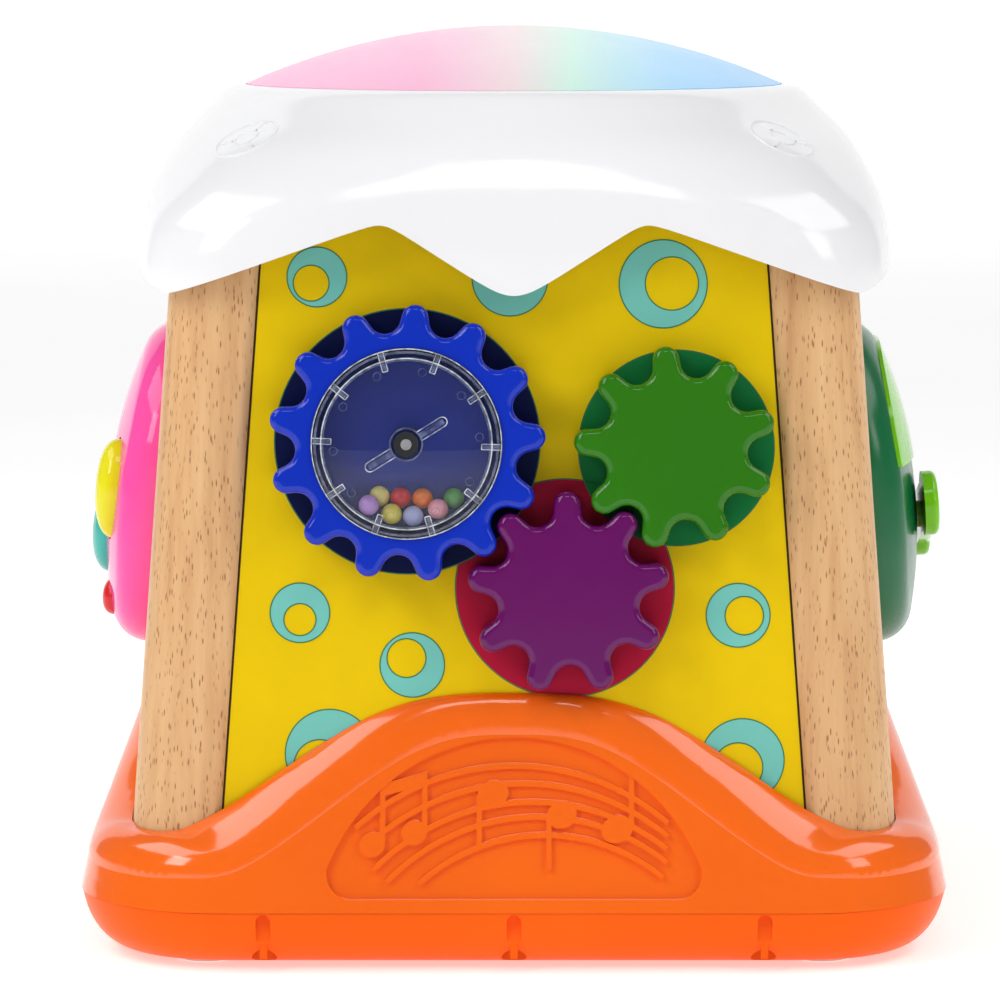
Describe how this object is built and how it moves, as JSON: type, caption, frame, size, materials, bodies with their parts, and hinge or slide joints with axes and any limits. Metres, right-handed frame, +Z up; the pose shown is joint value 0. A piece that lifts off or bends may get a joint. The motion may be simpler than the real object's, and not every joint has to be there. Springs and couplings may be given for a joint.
{
  "type": "baby activity cube",
  "caption": "Wooden-post activity cube with a drum top, meshing gears with a bead rattle, side buttons, a turning handle and a moulded base.",
  "frame": {"origin": "on the table, under the middle of the base", "axes": "+Z up, -Y out of the wall with the gears, +X to the right seen from in front of the gears"},
  "size_m": [0.2513, 0.2452, 0.258],
  "materials": {
    "orange_plastic": "glossy moulded",
    "white_plastic": "glossy moulded",
    "drum_plastic": "satin translucent",
    "beech": "clear lacquered beech",
    "yellow_board": "printed and lacquered board",
    "blue_plastic": "glossy moulded",
    "dark_blue_plastic": "satin moulded",
    "clear_plastic": "clear moulded",
    "black_plastic": "matt moulded",
    "violet_plastic": "glossy moulded",
    "green_plastic": "glossy moulded",
    "bead_plastic": "glossy, eight colours",
    "pink_plastic": "glossy moulded",
    "dark_green_plastic": "glossy moulded",
    "lime_plastic": "glossy moulded",
    "yellow_plastic": "glossy moulded",
    "teal_plastic": "glossy moulded",
    "red_plastic": "glossy moulded",
    "steel": "zinc plated",
    "black_steel": "blackened",
    "silicone": "pale silicone rubber",
    "circuit_board": "solder mask",
    "grey_plastic": "matt moulded",
    "cell_jacket": "plain jacket"
  },
  "bodies": {
    "cube": {"base_tray": "orange_plastic", "base_rim": "orange_plastic", "rubber_feet": "silicone", "base_screws": "black_steel", "post_foot_screws": "steel", "battery_door": "orange_plastic", "battery_door_screw": "steel", "battery_cells": "cell_jacket", "battery_contacts": "steel", "speaker": "black_plastic", "main_board": "circuit_board", "board_screws": "steel", "power_switch": "black_plastic", "post_front_left": "beech", "post_front_right": "beech", "post_back_right": "beech", "post_back_left": "beech", "front_panel": "yellow_board", "right_panel": "yellow_board", "back_panel": "yellow_board", "left_panel": "yellow_board", "cap_shell": "white_plastic", "top_deck": "grey_plastic", "deck_screws": "steel", "cap_screws": "steel", "drum_bumpers": "silicone", "light_board": "circuit_board", "drum_lamps": "clear_plastic", "drum_switch": "black_plastic", "gear_bushes": "grey_plastic", "pink_housing": "pink_plastic", "yellow_spring": "silicone", "teal_spring": "silicone", "red_spring": "silicone", "purple_spring": "silicone", "button_board": "circuit_board", "green_housing": "dark_green_plastic", "lime_cover": "lime_plastic", "housing_screws": "steel"},
    "drum": {"drum_head": "drum_plastic"},
    "blue_gear": {"blue_gear": "blue_plastic", "rattle_floor": "dark_blue_plastic", "rattle_window": "clear_plastic", "rattle_cap": "black_plastic", "blue_axle": "steel", "blue_retainer": "grey_plastic"},
    "purple_gear": {"purple_gear": "violet_plastic", "purple_axle": "steel", "purple_retainer": "grey_plastic"},
    "green_gear": {"green_gear": "green_plastic", "green_axle": "steel", "green_retainer": "grey_plastic"},
    "beads": {"rattle_beads": "bead_plastic"},
    "yellow_button": {"yellow_button": "yellow_plastic"},
    "teal_button": {"teal_button": "teal_plastic"},
    "red_button": {"red_button": "red_plastic"},
    "purple_button": {"purple_button": "violet_plastic"},
    "handle": {"turn_handle": "lime_plastic", "handle_retainer": "grey_plastic"},
    "power_knob": {"power_knob": "black_plastic"}
  },
  "joints": [
    {"name": "drum_press", "type": "slide", "parent": "cube", "child": "drum", "axis": [0, 0, -1], "range_m": [0, 0.002], "stiffness_N_per_m": 2500, "deforming": ["drum_bumpers"]},
    {"name": "blue_gear_spin", "type": "hinge", "parent": "cube", "child": "blue_gear", "pos_m": [-0.02939, -0.09729, 0.14484], "axis": [0, -0.9975, 0.071], "continuous": true},
    {"name": "purple_gear_spin", "type": "hinge", "parent": "cube", "child": "purple_gear", "pos_m": [0.015, -0.10021, 0.10384], "axis": [0, -0.9975, 0.071], "continuous": true},
    {"name": "green_gear_spin", "type": "hinge", "parent": "cube", "child": "green_gear", "pos_m": [0.0443, -0.09738, 0.14363], "axis": [0, -0.9975, 0.071], "continuous": true},
    {"name": "bead_swing", "type": "hinge", "parent": "cube", "child": "beads", "pos_m": [-0.02939, -0.09729, 0.14484], "axis": [0, -0.9975, 0.071], "range_deg": [-40, 40]},
    {"name": "yellow_press", "type": "slide", "parent": "cube", "child": "yellow_button", "axis": [0.9975, 0, -0.071], "range_m": [0, 0.002], "stiffness_N_per_m": 600, "deforming": ["yellow_spring"]},
    {"name": "teal_press", "type": "slide", "parent": "cube", "child": "teal_button", "axis": [0.9975, 0, -0.071], "range_m": [0, 0.002], "stiffness_N_per_m": 600, "deforming": ["teal_spring"]},
    {"name": "red_press", "type": "slide", "parent": "cube", "child": "red_button", "axis": [0.9975, 0, -0.071], "range_m": [0, 0.002], "stiffness_N_per_m": 600, "deforming": ["red_spring"]},
    {"name": "purple_press", "type": "slide", "parent": "cube", "child": "purple_button", "axis": [0.9975, 0, -0.071], "range_m": [0, 0.002], "stiffness_N_per_m": 600, "deforming": ["purple_spring"]},
    {"name": "handle_spin", "type": "hinge", "parent": "cube", "child": "handle", "pos_m": [0.09967, 0, 0.11142], "axis": [0.9975, 0, 0.071], "continuous": true},
    {"name": "power_slide", "type": "slide", "parent": "cube", "child": "power_knob", "axis": [1, 0, 0], "range_m": [0, 0.004]}
  ],
  "couplings": [
    {"joint": "purple_gear_spin", "follows": "blue_gear_spin", "ratio": -1.4444},
    {"joint": "green_gear_spin", "follows": "blue_gear_spin", "ratio": 1.4444}
  ]
}
